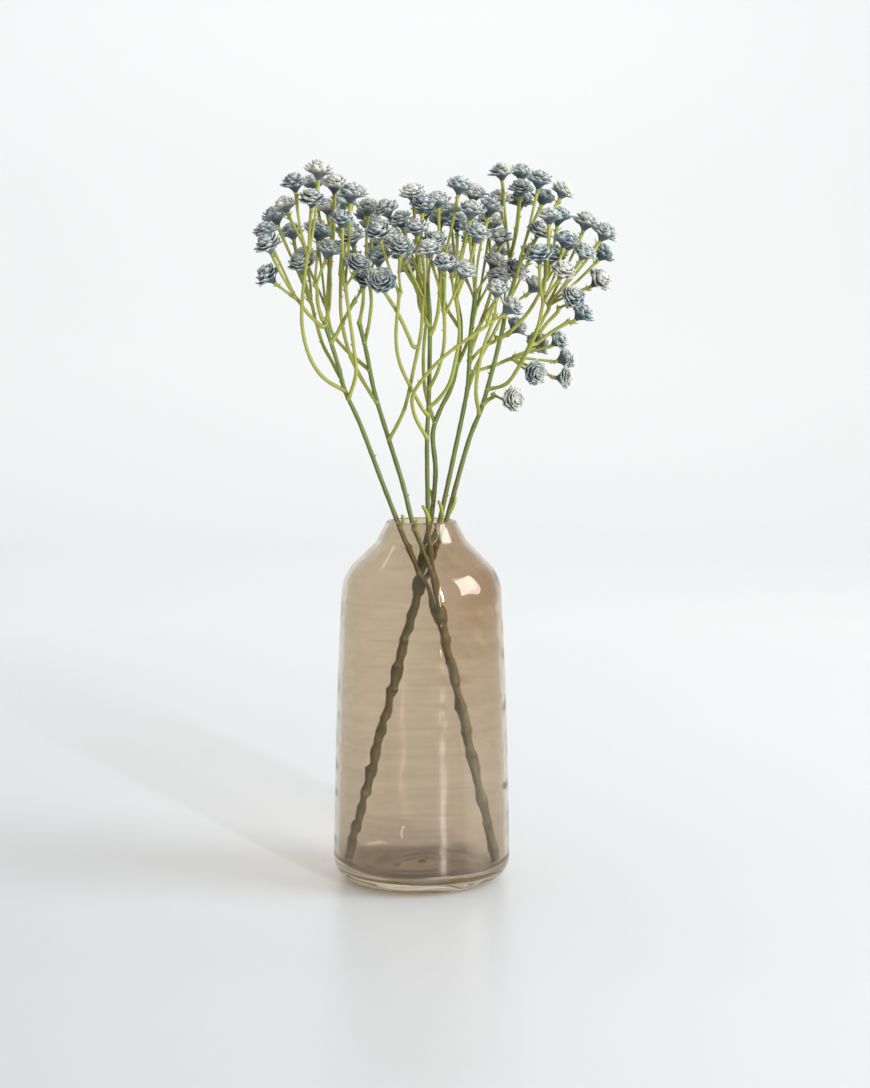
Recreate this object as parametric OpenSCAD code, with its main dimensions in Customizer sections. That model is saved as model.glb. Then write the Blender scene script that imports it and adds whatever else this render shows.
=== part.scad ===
// Hand-blown glass bottle vase with two artificial sprays of small layered florets.
// Millimetres. The origin is the centre of the foot, on the surface that the vase stands on.
// +Z is up, +Y points to the back and +X to the right. Each spray stands with its cut foot inside
// the base, crosses the other one in the neck, and has three branches with twigs and florets.

/* [Vase] */
// Height from the table to the top of the lip
vase_h = 188; // [186:1:190]
// Largest outer radius, just above the heel
body_r = 46.6; // [46:0.1:47]
// Outer radius at the top of the lip
mouth_r = 17.7; // [17.5:0.1:19]
// Thickness of the glass in the body
body_wall = 2.4; // [2:0.1:2.6]
// Thickness of the glass in the neck
neck_wall = 2.0; // [1.8:0.1:2.2]
// Thickness of the base at its centre
base_t = 7; // [6:0.5:8]
// Rounding of the outer heel
heel_r = 12.2; // [10:0.1:13]
// Rounding of the shoulder
shoulder_r = 24; // [20:1:26]

/* [Main stems] */
// Diameter of a main stem
stem_d = 5; // [4.6:0.1:5.4]
// Diameter of the steel wire in its middle
wire_d = 1.6; // [1.2:0.1:2]
// Distance of each main stem in front of or behind the vase's middle
stem_y = 4.2; // [4:0.1:4.6]
// Diameter of the fork collar
collar_d = 7.2; // [7.1:0.1:7.8]
// Height of the left spray's fork
left_fork_z = 142; // [140:1:144]
// Height of the right spray's fork
right_fork_z = 156; // [154:1:158]

/* [Branches and twigs] */
// Radius of a branch at its fork
branch_r = 1.4; // [1.3:0.05:1.6]
// Radius of a branch at its tip
branch_tip_r = 1.15; // [1:0.05:1.3]
// Radius of a twig where it leaves its branch
twig_r = 1.05; // [0.9:0.05:1.2]
// Radius of a twig at its tip
twig_tip_r = 0.85; // [0.75:0.05:1]
// Radius of a floret's stalk
stalk_r = 0.7; // [0.6:0.05:0.8]
// Radius of the thickening where a twig forks into stalks
knuckle_r = 2; // [1.9:0.1:2.4]

/* [Crown] */
// Width of the crown above the mouth, as a share of the drawn centre lines
crown_w = 0.97; // [0.97:0.01:1.02]
// Depth of the crown from front to back
crown_d = 1.1; // [1.08:0.01:1.15]
// Height of the crown above the mouth
crown_h = 0.975; // [0.97:0.005:1.02]

/* [Florets] */
// Largest radius of a floret
floret_r = 6.6; // [5:0.1:6.8]
// Height of a floret
floret_h = 9; // [7:0.5:10]
// Length of the calyx under a floret
calyx_h = 2.6; // [2:0.2:3.4]

/* [Hidden] */
$fn = 48;
TUBE_SIDES = 6;
TWIG_SIDES = 6;
STALK_SIDES = 5;
BRANCH_SIDES = 8;
FLORET_SIDES = 8;
GLASS = [0.55, 0.45, 0.33];
DARK_GREEN = [0.36, 0.45, 0.22];
TWIG_GREEN = [0.60, 0.62, 0.28];
SLATE = [0.42, 0.50, 0.56];
STEEL = [0.6, 0.6, 0.62];

// Foot and lean of each main stem: where its centre line meets the foot, and its rise direction
LEFT_FOOT = [39, -stem_y, 8.5];
LEFT_RISE = [-32.7, 0, 145];
RIGHT_FOOT = [-39, stem_y, 8.5];
RIGHT_RISE = [37.6, 0, 144];
LEFT_FORK = on_stem(LEFT_FOOT, LEFT_RISE, left_fork_z);
RIGHT_FORK = on_stem(RIGHT_FOOT, RIGHT_RISE, right_fork_z);
COLLAR_L = 9;
SOCKET_R = 2.1;

// ---- Left spray: centre lines above the fork, [x, y, z] ----
LEFT_OUTER = [[3.6, -4.4, 152], [-1.2, -4.4, 162], [-9.5, -4, 180], [-12.5, -3.8, 188],
    [-22, -5, 212], [-32, -8, 239], [-40, -10, 257], [-44, -11, 272], [-51, -12, 294]];
LEFT_MIDDLE = [[7, -6.4, 153], [4, -6.5, 164], [-0.6, -6.4, 176], [-4.5, -6, 187], [-10, -4, 208],
    [-18, 0, 233], [-25, 3, 256], [-29.5, 5, 278], [-33, 6, 292]];
LEFT_INNER = [[7.6, -2.4, 153], [5.8, -2.6, 164], [4.4, -3, 176], [3.5, -3.2, 187], [3, -4, 229],
    [4, -5, 253], [4.5, -6, 294], [3, -7, 312]];

LEFT_OUTER_TWIGS = [
    [[-40, -10, 257], [-50, -14, 263], [-57, -19, 273], [-61, -23, 288], [-61, -25, 304], [-58, -25, 328]],
    [[-41.5, -9, 262], [-47, -6, 272], [-52, -2, 281], [-56, 3, 293], [-59, 6, 305]],
    [[-51.5, -13, 290], [-58, -18, 296], [-66, -22, 307]],
    [[-51.5, -13.5, 294], [-54, -16.5, 303], [-54, -18, 313]],
    [[-49.5, -10.5, 293], [-48, -6, 305], [-48, -2, 322]],
    [[-38, -11, 253], [-34, -15, 266], [-35, -18, 280], [-37, -22, 296], [-39, -25, 312]],
    [[-46, -11, 282], [-40, -16, 294], [-34, -20, 304]]];
LEFT_OUTER_HEADS = [
    [[-58, -25, 328], [[-52, -22, 369], [-64, -33, 362], [-70, -20, 352], [-55, -36, 354]]],
    [[-59, 6, 305], [[-69, 16, 340], [-63, -4, 322], [-77, 4, 347], [-62, 20, 326]]],
    [[-66, -22, 307], [[-78, -25, 316], [-77, -36, 331], [-80, -18, 339]]],
    [[-54, -18, 313], [[-53, -10, 338], [-48, -18, 329]]],
    [[-48, -2, 322], [[-45, -8, 363], [-49, 0, 352], [-57, 8, 365]]],
    [[-39, -25, 312], [[-36, -24, 357], [-40, -36, 344], [-32, -34, 322]]],
    [[-34, -20, 304], [[-29, -24, 314]]]];

LEFT_MIDDLE_TWIGS = [
    [[-27.5, 4.5, 267], [-36, 12, 274], [-43, 20, 280], [-49, 26, 288], [-52, 30, 302]],
    [[-23.5, 2, 250], [-32, 5, 263], [-39, 8, 278], [-43, 12, 297], [-43, 14, 318]],
    [[-33, 5, 292], [-31, 4, 301], [-30, 3, 314]],
    [[-30.5, 6, 281], [-28, 12, 292], [-27, 18, 306], [-29, 24, 316]],
    [[-17, -1, 231], [-9, -6, 247], [-4, -10, 268], [0, -13, 288], [1, -15, 306]],
    [[-4.2, -12.5, 280], [-12, -18, 297], [-21, -22, 311]]];
LEFT_MIDDLE_HEADS = [
    [[-52, 30, 302], [[-57, 30, 342], [-50, 40, 332], [-64, 36, 328], [-48, 28, 352]]],
    [[-43, 14, 318], [[-42, 14, 355], [-36, 24, 362], [-40, 28, 341]]],
    [[-30, 4, 314], [[-28, 2, 352], [-36.5, -1, 336], [-26, 14, 343]]],
    [[-29, 24, 316], [[-24, 26, 332], [-30, 38, 350], [-38, 32, 326]]],
    [[1, -15, 306], [[-10, -18, 344], [-16, -26, 335], [-9, -30, 328], [-2, -28, 340]]],
    [[-21, -22, 311], [[-22, -25, 325], [-20, -39, 313]]]];

LEFT_INNER_TWIGS = [
    [[2.5, -5, 244], [-4, -10, 256], [-11, -14, 271], [-13, -18, 286], [-11, -22, 308]],
    [[5, -4.6, 248], [14, -8, 259], [18, -11, 273], [20, -13, 288], [18, -15, 306]],
    [[4, -6.5, 258], [9, -15, 268], [12, -22, 282], [12, -28, 298]],
    [[3, -4, 232], [-3, -10, 243], [-4.5, -15, 254], [1.5, -20, 264], [12, -23, 275], [28, -26, 287], [36, -27, 293]],
    [[5.5, -6, 286], [9, -8, 299], [10, -10, 320]],
    [[3.5, -7, 291], [-1, -10, 302], [-2, -12, 322]]];
LEFT_INNER_HEADS = [
    [[-11, -22, 308], [[-21, -46, 337], [-10, -42, 330]]],
    [[18, -15, 306], [[15, -18, 322], [26, -16, 349], [29, -26, 337]]],
    [[12, -28, 298], [[12, -40, 322], [22, -36, 318], [4, -36, 329]]],
    [[36, -27, 293], [[46, -26, 300], [39, -32, 309]]],
    [[10, -11, 320], [[9, -14, 355], [20, -12, 362]]],
    [[-2, -11, 322], [[-4, -14, 358], [1, -24, 352]]],
    [[3, -7, 312], [[7, -24, 334], [-18, -14, 350]]]];

// ---- Right spray ----
RIGHT_INNER = [[-0.5, 6.6, 166], [3, 7, 179], [5, 7, 188], [7.5, 7, 213], [6, 8, 233], [10, 10, 246],
    [16, 13, 258], [20, 17, 275], [21, 20, 292], [18, 23, 308]];
RIGHT_MIDDLE = [[2.4, 2.4, 168], [6.6, 2.4, 179], [9.6, 2.6, 188], [18.4, 5, 227], [23, 7, 249], [25, 8, 262],
    [26.4, 9, 288], [29, 10, 309]];
RIGHT_OUTER = [[6, 4.4, 168], [10, 4.2, 179], [13, 3.8, 188], [25, 6, 229], [31.7, 7, 246], [37, 8, 264],
    [43, 9, 288], [45, 10, 300]];

RIGHT_INNER_TWIGS = [
    [[7, 9, 239], [2, 16, 256], [1, 24, 276], [3, 30, 296]],
    [[19.5, 17, 270], [26, 24, 285], [30, 32, 302]],
    [[20, 21, 290], [14, 29, 299], [11, 37, 308]],
    [[18, 23, 308], [18.6, 22.4, 313], [19, 22, 318]]];
RIGHT_INNER_HEADS = [
    [[3, 30, 296], [[-7, 31, 322], [0, 43, 334], [-3, 20, 342], [2, 30, 352]]],
    [[30, 32, 302], [[41, 32, 323], [28, 44, 338], [38, 42, 346], [22, 35, 322]]],
    [[11, 37, 308], [[14, 50, 330], [10, 46, 348]]],
    [[19, 22, 318], [[19, 22, 345], [28, 18, 360], [15, 34, 352]]]];

RIGHT_MIDDLE_TWIGS = [
    [[26, 9, 266], [38, 13, 269], [50, 14, 274]],
    [[25.6, 9, 275], [31, 15, 290], [36, 20, 304], [38, 22, 314]],
    [[27, 10, 284], [37, 17, 300], [45, 24, 312], [48, 27, 328]],
    [[24.6, 9, 257], [31, 20, 272], [40, 32, 288], [46, 40, 300]],
    [[26, 10, 272], [34, 15, 280], [42, 18, 284]]];
RIGHT_MIDDLE_HEADS = [
    [[50, 14, 274], [[73, 8, 283], [63, 29, 281], [77, 18, 273], [76, 6, 263], [60, 2, 266]]],
    [[38, 22, 314], [[42, 16, 337], [50, 17, 320], [36, 26, 346]]],
    [[48, 27, 328], [[43, 24, 372], [54, 30, 372], [53, 18, 363], [54, 38, 358], [42, 32, 358]]],
    [[46, 40, 300], [[52, 50, 320], [62, 44, 312], [44, 54, 332], [60, 36, 330]]],
    [[42, 18, 284], [[51, 20, 290]]],
    [[29, 10, 309], [[25.5, 12, 342], [36, 12, 352], [39, 11, 324]]]];

RIGHT_OUTER_TWIGS = [
    [[35, 7.6, 257], [45, 4, 260], [52, 0, 270], [58, -5, 283], [63, -8, 293], [68, -10, 303]],
    [[62, -9, 287], [68, -12, 295], [73, -14, 300]],
    [[60, -1, 281], [68, -3, 287], [78, -5, 293]],
    [[42.5, 8, 284], [52, 6, 292], [60, 4, 303], [66, 4, 315]],
    [[44.4, 10, 295], [48, 9, 308], [53, 6, 326]],
    [[33, 7, 249], [36, 6, 252], [39, 5, 254]],
    [[53, -4, 272], [60, -17, 288], [63, -27, 304]],
    [[31, 7, 244], [29, 2.8, 257], [32, 3, 276], [39, 3.5, 296]]];
RIGHT_OUTER_HEADS = [
    [[68, -10, 303], [[95, -14, 338], [95, -4, 328], [92, -16, 314], [86, -6, 344], [84, -22, 328]]],
    [[73, -14, 300], [[78, -24, 305]]],
    [[78, -5, 293], [[84, -6, 297]]],
    [[66, 4, 315], [[69, -4, 327], [79, 4, 334], [72, 0, 347], [66, 14, 328]]],
    [[53, 6, 326], [[62, 2, 366], [65, 16, 358], [62, -4, 340], [75, 8, 361]]],
    [[39, 5, 254], [[48, -4, 252]]],
    [[63, -27, 304], [[60, -34, 326], [72, -36, 318], [66, -24, 346], [74, -26, 334]]],
    [[39, 3.5, 296], [[41, 3, 316]]]];

// Cut side shoots near the mouth: foot and tip of each
LEFT_SPURS = [[[-10.9, -4.2, 184], [-9.4, -6, 193]], [[-4, -6.4, 183], [-1.8, -8.2, 191]],
    [[3.8, -3.3, 188], [-0.2, -5, 198]]];
RIGHT_SPURS = [[[10.6, 2.6, 190], [8.4, 0.8, 200]], [[14.6, 4, 192], [18.4, 2.6, 202]],
    [[6, 7, 196], [3.6, 9.6, 205]]];

// ---- Helpers: vectors, rounded outlines and smooth centre lines ----
function unit(v) = v / norm(v);
function on_stem(foot, rise, z) = foot + rise * (z - foot.z) / rise.z;

// Fits a drawn point above the mouth to the crown's width, depth and height
function crown(p) = p.z <= vase_h ? p
    : [p.x * crown_w, p.y * crown_d, vase_h + (p.z - vase_h) * crown_h];
function crown_line(line) = [for (p = line) crown(p)];

// A corner b between a and c, rounded to radius r with n steps
function corner(a, b, c, r, n) =
    let (u = unit(a - b), v = unit(c - b), half = acos(u * v) / 2,
        centre = b + unit(u + v) * r / sin(half),
        s = unit(b + u * r / tan(half) - centre),
        e = unit(b + v * r / tan(half) - centre),
        turn = 180 - 2 * half)
    [for (k = [0:n]) centre + r * (sin(turn * (n - k) / n) * s + sin(turn * k / n) * e) / sin(turn)];

// An open outline [[x, y, rounding, steps], ...]; a corner with no rounding stays sharp
function rounded(p) = [for (i = [0:len(p) - 1])
    let (here = [p[i].x, p[i].y])
    each p[i][2] == 0 ? [here]
        : corner([p[i - 1].x, p[i - 1].y], here, [p[i + 1].x, p[i + 1].y], p[i][2], p[i][3])];

// Catmull-Rom curve through the points p, n steps a span
function curve_point(a, b, c, d, t) =
    0.5 * (2 * b + (c - a) * t + (2 * a - 5 * b + 4 * c - d) * t * t + (3 * b - a - 3 * c + d) * t * t * t);
function smooth(p, n) = let (last = len(p) - 1) [
    for (i = [0:last - 1], k = [0:n - 1])
        curve_point(p[max(i - 1, 0)], p[i], p[i + 1], p[min(i + 2, last)], k / n),
    p[last]];

function sideways(dir) = unit(cross(dir, [0.1, 1, 0.05]));
function ring(centre, dir, r, sides) =
    let (u = sideways(dir), v = cross(dir, u))
    [for (k = [0:sides - 1]) centre + r * (cos(360 * k / sides) * u + sin(360 * k / sides) * v)];

// A tube along the points of a centre line, from radius r0 to r1, with its last ring at radius end_r
module tube(line, r0, r1, sides, end_r) {
    last = len(line) - 1;
    rings = [for (i = [0:last])
        ring(line[i], unit(line[min(i + 1, last)] - line[max(i - 1, 0)]),
            i == last ? end_r : r0 + (r1 - r0) * i / last, sides)];
    walls = [for (i = [0:last - 1], k = [0:sides - 1])
        let (a = i * sides + k, b = i * sides + (k + 1) % sides)
        each [[a, a + sides, b], [b, a + sides, b + sides]]];
    start = [for (k = [0:sides - 1]) k];
    end = [for (k = [sides - 1:-1:0]) last * sides + k];
    polyhedron(points = [for (one = rings) each one], faces = concat([start], walls, [end]), convexity = 8);
}

// A convex solid through rings of points
module through(rings) {
    sides = len(rings[0]);
    hull() polyhedron(
        points = [for (one = rings) each one],
        faces = [for (i = [0:len(rings) - 1]) [for (k = [0:sides - 1]) i * sides + k]]);
}

// Puts children, drawn up the Z axis, at a foot point and along a rise direction
module along(foot, rise) {
    translate(foot) rotate([0, atan2(norm([rise.x, rise.y]), rise.z), atan2(rise.y, rise.x)]) children();
}

// ---- A floret on its stalk: which way it faces, and its parts ----
function facing(fork, centre) = unit(unit(centre - fork) + [0, 0, 0.35]);
function floret_foot(fork, centre) = centre - facing(fork, centre) * floret_h / 2;
function calyx_foot(fork, centre) = floret_foot(fork, centre) - facing(fork, centre) * (calyx_h - 0.8);

module floret(fork, centre) {
    up = facing(fork, centre);
    foot = floret_foot(fork, centre);
    through([
        ring(foot, up, 1.9, FLORET_SIDES),
        ring(foot + up * floret_h * 0.5, up, floret_r, FLORET_SIDES),
        ring(foot + up * floret_h, up, floret_r * 0.62, FLORET_SIDES)]);
}

module calyx(fork, centre) {
    up = facing(fork, centre);
    foot = calyx_foot(fork, centre);
    through([
        ring(foot, up, 1, TUBE_SIDES),
        ring(foot + up * calyx_h, up, 1.9, TUBE_SIDES)]);
}

// Where the stalks of one fork start: side by side around its middle, in the order of their florets
function sum(list, i = 0) = i == len(list) - 1 ? list[i] : list[i] + sum(list, i + 1);
function bearing(v, u, w) = atan2(v * w, v * u);
function stalk_starts(fork, centres) =
    let (n = len(centres), aim = unit(sum([for (c = centres) unit(c - fork)])),
        u = sideways(aim), w = cross(aim, u),
        bearings = [for (c = centres) bearing(c - fork, u, w)],
        spread = n > 1 ? knuckle_r - stalk_r : 0)
    [for (mine = bearings)
        let (angle = min(bearings) + 360 * len([for (other = bearings) if (other < mine) 1]) / n)
        fork - aim * 1.2 + spread * (cos(angle) * u + sin(angle) * w)];

module stalk(start, fork, centre) {
    tip = calyx_foot(fork, centre) + facing(fork, centre) * 1.2;
    aim = unit(tip - start);
    through([ring(start, aim, stalk_r, STALK_SIDES), ring(tip, aim, stalk_r, STALK_SIDES)]);
}

module stalks(heads) {
    color(TWIG_GREEN) union() {
        for (head = heads) {
            fork = crown(head[0]);
            centres = crown_line(head[1]);
            starts = stalk_starts(fork, centres);
            for (k = [0:len(starts) - 1]) stalk(starts[k], fork, centres[k]);
        }
    }
}

// Each twig widens at its tip, where the stalks are set in
module twigs(lines) {
    color(TWIG_GREEN) for (line = lines) tube(smooth(crown_line(line), 3), twig_r, twig_tip_r, TWIG_SIDES, knuckle_r);
}

module calyxes(heads) {
    color(TWIG_GREEN) union() {
        for (head = heads, centre = head[1]) calyx(crown(head[0]), crown(centre));
    }
}

module florets(heads) {
    color(SLATE) union() {
        for (head = heads, centre = head[1]) floret(crown(head[0]), crown(centre));
    }
}

// A branch starts in its own socket of the collar, turned from +X by angle
module branch(fork, angle, line) {
    root = fork + SOCKET_R * [cos(angle), sin(angle), 0];
    color(DARK_GREEN) tube(smooth(concat([root], crown_line(line)), 3), branch_r, branch_tip_r, BRANCH_SIDES, branch_tip_r);
}

module main_stem(foot, rise, fork) {
    color(DARK_GREEN) along(foot, rise) difference() {
        cylinder(h = norm(fork - foot) - 2, d = stem_d);
        translate([0, 0, -1]) cylinder(h = norm(fork - foot) + 1, d = wire_d);
    }
}

module core_wire(foot, rise, fork) {
    color(STEEL) along(foot, rise) translate([0, 0, 0.5]) cylinder(h = norm(fork - foot) - 3, d = wire_d);
}

// Barrel-shaped sleeve: the stem comes in from below, the branches leave from its top
module fork_collar(foot, rise, fork) {
    bore_l = COLLAR_L / 2;
    color(DARK_GREEN) along(fork, rise) rotate_extrude() polygon([
        [stem_d / 2, -2 - bore_l], [stem_d / 2 + 0.5, -2 - bore_l], [collar_d / 2, -2], [collar_d / 2, 1],
        [collar_d / 2 - 0.8, 3], [0, 3], [0, -2], [stem_d / 2, -2]]);
}

module spurs(list) {
    color(TWIG_GREEN) for (spur = list) {
        dir = unit(spur[1] - spur[0]);
        through([ring(spur[0], dir, 1.3, TUBE_SIDES), ring(spur[1], dir, 0.35, TUBE_SIDES)]);
    }
}

// ---- The vase: one outline, turned around the axis ----
module vase() {
    slope_sum = 200.8;
    waist = [body_r - 2, 96];
    shoulder = [body_r - 5.3, slope_sum - body_r + 5.3];
    neck = [mouth_r + 5.5, slope_sum - mouth_r - 5.5];
    inner_shoulder = shoulder - [body_wall * 0.95, 0.5];
    inner_neck = neck - [neck_wall * 0.92, 1.4];
    outside = rounded([
        [0, 0, 0], [body_r, 0, heel_r, 10], [waist.x, waist.y, 2500, 3],
        [shoulder.x, shoulder.y, shoulder_r, 10], [neck.x, neck.y, 6, 5],
        [mouth_r, vase_h, neck_wall * 0.42, 5], [mouth_r - neck_wall * 1.13, vase_h, neck_wall * 0.42, 5],
        [inner_neck.x, inner_neck.y, 8, 5], [inner_shoulder.x, inner_shoulder.y, shoulder_r - body_wall, 10],
        [waist.x - body_wall, waist.y, 2500, 3], [body_r - body_wall, base_t, heel_r - 6, 8], [0, base_t, 0]]);
    color(GLASS, 0.5) rotate_extrude($fn = 96) polygon(outside);
}

// ---- Left spray ----
module left_core_wire() { core_wire(LEFT_FOOT, LEFT_RISE, LEFT_FORK); }
module left_main_stem() { main_stem(LEFT_FOOT, LEFT_RISE, LEFT_FORK); }
module left_fork_collar() { fork_collar(LEFT_FOOT, LEFT_RISE, LEFT_FORK); }
module left_spurs() { spurs(LEFT_SPURS); }
module left_outer_branch() { branch(LEFT_FORK, 180, LEFT_OUTER); }
module left_middle_branch() { branch(LEFT_FORK, -60, LEFT_MIDDLE); }
module left_inner_branch() { branch(LEFT_FORK, 60, LEFT_INNER); }
module left_outer_twigs() { twigs(LEFT_OUTER_TWIGS); }
module left_middle_twigs() { twigs(LEFT_MIDDLE_TWIGS); }
module left_inner_twigs() { twigs(LEFT_INNER_TWIGS); }
module left_outer_stalks() { stalks(LEFT_OUTER_HEADS); }
module left_outer_calyxes() { calyxes(LEFT_OUTER_HEADS); }
module left_middle_stalks() { stalks(LEFT_MIDDLE_HEADS); }
module left_middle_calyxes() { calyxes(LEFT_MIDDLE_HEADS); }
module left_inner_stalks() { stalks(LEFT_INNER_HEADS); }
module left_inner_calyxes() { calyxes(LEFT_INNER_HEADS); }
module left_outer_florets() { florets(LEFT_OUTER_HEADS); }
module left_middle_florets() { florets(LEFT_MIDDLE_HEADS); }
module left_inner_florets() { florets(LEFT_INNER_HEADS); }

// ---- Right spray ----
module right_core_wire() { core_wire(RIGHT_FOOT, RIGHT_RISE, RIGHT_FORK); }
module right_main_stem() { main_stem(RIGHT_FOOT, RIGHT_RISE, RIGHT_FORK); }
module right_fork_collar() { fork_collar(RIGHT_FOOT, RIGHT_RISE, RIGHT_FORK); }
module right_spurs() { spurs(RIGHT_SPURS); }
module right_outer_branch() { branch(RIGHT_FORK, 0, RIGHT_OUTER); }
module right_middle_branch() { branch(RIGHT_FORK, -120, RIGHT_MIDDLE); }
module right_inner_branch() { branch(RIGHT_FORK, 120, RIGHT_INNER); }
module right_outer_twigs() { twigs(RIGHT_OUTER_TWIGS); }
module right_middle_twigs() { twigs(RIGHT_MIDDLE_TWIGS); }
module right_inner_twigs() { twigs(RIGHT_INNER_TWIGS); }
module right_outer_stalks() { stalks(RIGHT_OUTER_HEADS); }
module right_outer_calyxes() { calyxes(RIGHT_OUTER_HEADS); }
module right_middle_stalks() { stalks(RIGHT_MIDDLE_HEADS); }
module right_middle_calyxes() { calyxes(RIGHT_MIDDLE_HEADS); }
module right_inner_stalks() { stalks(RIGHT_INNER_HEADS); }
module right_inner_calyxes() { calyxes(RIGHT_INNER_HEADS); }
module right_outer_florets() { florets(RIGHT_OUTER_HEADS); }
module right_middle_florets() { florets(RIGHT_MIDDLE_HEADS); }
module right_inner_florets() { florets(RIGHT_INNER_HEADS); }

vase();
left_core_wire();
left_main_stem();
left_fork_collar();
left_spurs();
left_outer_branch();
left_middle_branch();
left_inner_branch();
left_outer_twigs();
left_middle_twigs();
left_inner_twigs();
left_outer_stalks();
left_outer_calyxes();
left_middle_stalks();
left_middle_calyxes();
left_inner_stalks();
left_inner_calyxes();
left_outer_florets();
left_middle_florets();
left_inner_florets();
right_core_wire();
right_main_stem();
right_fork_collar();
right_spurs();
right_outer_branch();
right_middle_branch();
right_inner_branch();
right_outer_twigs();
right_middle_twigs();
right_inner_twigs();
right_outer_stalks();
right_outer_calyxes();
right_middle_stalks();
right_middle_calyxes();
right_inner_stalks();
right_inner_calyxes();
right_outer_florets();
right_middle_florets();
right_inner_florets();
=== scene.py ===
# Smoke-brown blown glass bottle vase with two artificial sprays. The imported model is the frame: every
# place comes from its nodes. Metres, +Z up, the camera looks along +Y.
import math
import random

import bmesh
import bpy
from mathutils import Matrix, Vector


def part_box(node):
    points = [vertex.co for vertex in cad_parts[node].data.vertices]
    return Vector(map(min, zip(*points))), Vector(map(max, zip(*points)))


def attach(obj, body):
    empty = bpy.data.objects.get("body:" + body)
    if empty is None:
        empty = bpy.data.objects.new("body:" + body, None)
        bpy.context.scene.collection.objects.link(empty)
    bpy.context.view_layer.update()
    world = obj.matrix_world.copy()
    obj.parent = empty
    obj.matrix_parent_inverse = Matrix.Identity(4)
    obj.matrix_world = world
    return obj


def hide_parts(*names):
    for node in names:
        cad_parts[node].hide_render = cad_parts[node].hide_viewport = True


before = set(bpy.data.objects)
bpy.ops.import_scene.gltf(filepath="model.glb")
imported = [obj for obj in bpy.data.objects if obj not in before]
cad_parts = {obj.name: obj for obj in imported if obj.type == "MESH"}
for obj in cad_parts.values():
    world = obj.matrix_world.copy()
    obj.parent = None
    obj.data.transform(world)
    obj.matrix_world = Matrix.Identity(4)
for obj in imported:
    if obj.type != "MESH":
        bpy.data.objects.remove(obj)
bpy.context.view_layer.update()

MM = 0.001
BRANCHES = ("outer", "middle", "inner")
# Random seed of each spray
SEEDS = {"left": 11, "right": 47}
# Upper limit of a random turn about an axis, in radians
ANY_TURN = 6.28
# Corners round the CAD tubes of the branches and the twigs
BRANCH_CORNERS = 8
TWIG_CORNERS = 6


# ---------------------------------------------------------------- camera
CAMERA_PLACE = (0.007, -1.085, 0.291)
CAMERA_DIP = math.radians(6.07)


def make_camera():
    """The viewing angle: a little above the mouth, looking slightly down."""
    data = bpy.data.cameras.new("camera")
    data.lens = 69.7
    data.sensor_width = 36
    camera = bpy.data.objects.new("camera", data)
    camera.location = CAMERA_PLACE
    camera.rotation_euler = (math.radians(90) - CAMERA_DIP, 0, 0)
    bpy.context.scene.collection.objects.link(camera)
    bpy.context.scene.camera = camera
    bpy.context.scene.view_settings.view_transform = "Standard"


# ---------------------------------------------------------------- mesh helpers
def new_piece(name, verts, faces):
    """A smooth-shaded mesh object."""
    mesh = bpy.data.meshes.new(name)
    mesh.from_pydata([tuple(v) for v in verts], [], faces)
    mesh.update()
    mesh.polygons.foreach_set("use_smooth", [True] * len(mesh.polygons))
    piece = bpy.data.objects.new(name, mesh)
    bpy.context.scene.collection.objects.link(piece)
    return piece


def welded(node):
    """A CAD node's mesh as a bmesh with its doubled corner points joined."""
    bm = bmesh.new()
    bm.from_mesh(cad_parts[node].data)
    bmesh.ops.remove_doubles(bm, verts=bm.verts, dist=0.002 * MM)
    return bm


def groups_of(bm):
    """The points of each separate solid."""
    seen, groups = set(), []
    for start in bm.verts:
        if start in seen:
            continue
        group, queue = [], [start]
        seen.add(start)
        while queue:
            vert = queue.pop()
            group.append(vert)
            for edge in vert.link_edges:
                other = edge.other_vert(vert)
                if other not in seen:
                    seen.add(other)
                    queue.append(other)
        groups.append(group)
    return groups


def solids_of(node):
    """The corner points of each separate solid in a CAD node."""
    bm = welded(node)
    solids = [[vert.co.copy() for vert in group] for group in groups_of(bm)]
    bm.free()
    return solids


def layers_from(first):
    """Rings of points, each one step further along the solid than the last."""
    layers, seen = [list(first)], set(first)
    while layers[-1]:
        following = []
        for vert in layers[-1]:
            for edge in vert.link_edges:
                other = edge.other_vert(vert)
                if other not in seen:
                    seen.add(other)
                    following.append(other)
        layers.append(following)
    return layers[:-1]


def lines_of(node, corners):
    """Each tube's centre line, from its foot to its tip, read ring by ring."""
    bm = welded(node)
    lines = []
    for group in groups_of(bm):
        end = layers_from([group[0]])[-1][0]
        ring = sorted(group, key=lambda vert: (vert.co - end.co).length)[:corners]
        line = [middle([vert.co for vert in layer]) for layer in layers_from(ring)]
        lines.append(line if line[0].z < line[-1].z else line[::-1])
    bm.free()
    return lines


def middle(points):
    return sum(points, Vector()) / len(points)


def ends_of(points):
    """The middles of the two end rings of a long straight solid, lower one first."""
    centre = middle(points)
    far = max(points, key=lambda p: (p - centre).length)
    axis = (far - centre).normalized()
    ends = [middle([p for p in points if (p - centre).dot(axis) * sign > 0]) for sign in (-1, 1)]
    return sorted(ends, key=lambda p: p.z)


def calyx_axis(points):
    """Foot, top and direction of a calyx: its foot ring is the narrow one."""
    centre = middle(points)
    ordered = sorted(points, key=lambda p: (p - centre).length)
    half = len(points) // 2
    foot, top = middle(ordered[:half]), middle(ordered[half:])
    return foot, top, (top - foot).normalized()


def basis(direction):
    """A rotation whose Z axis points along a direction."""
    return direction.normalized().to_track_quat("Z", "Y").to_matrix()


def smooth_line(line, steps):
    """A Catmull-Rom curve through the points of a line."""
    out, last = [], len(line) - 1
    for i in range(last):
        a, b, c, d = line[max(i - 1, 0)], line[i], line[i + 1], line[min(i + 2, last)]
        for k in range(steps):
            t = k / steps
            out.append(0.5 * (2 * b + (c - a) * t + (2 * a - 5 * b + 4 * c - d) * t * t
                              + (3 * b - a - 3 * c + d) * t ** 3))
    return out + [line[-1]]


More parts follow.
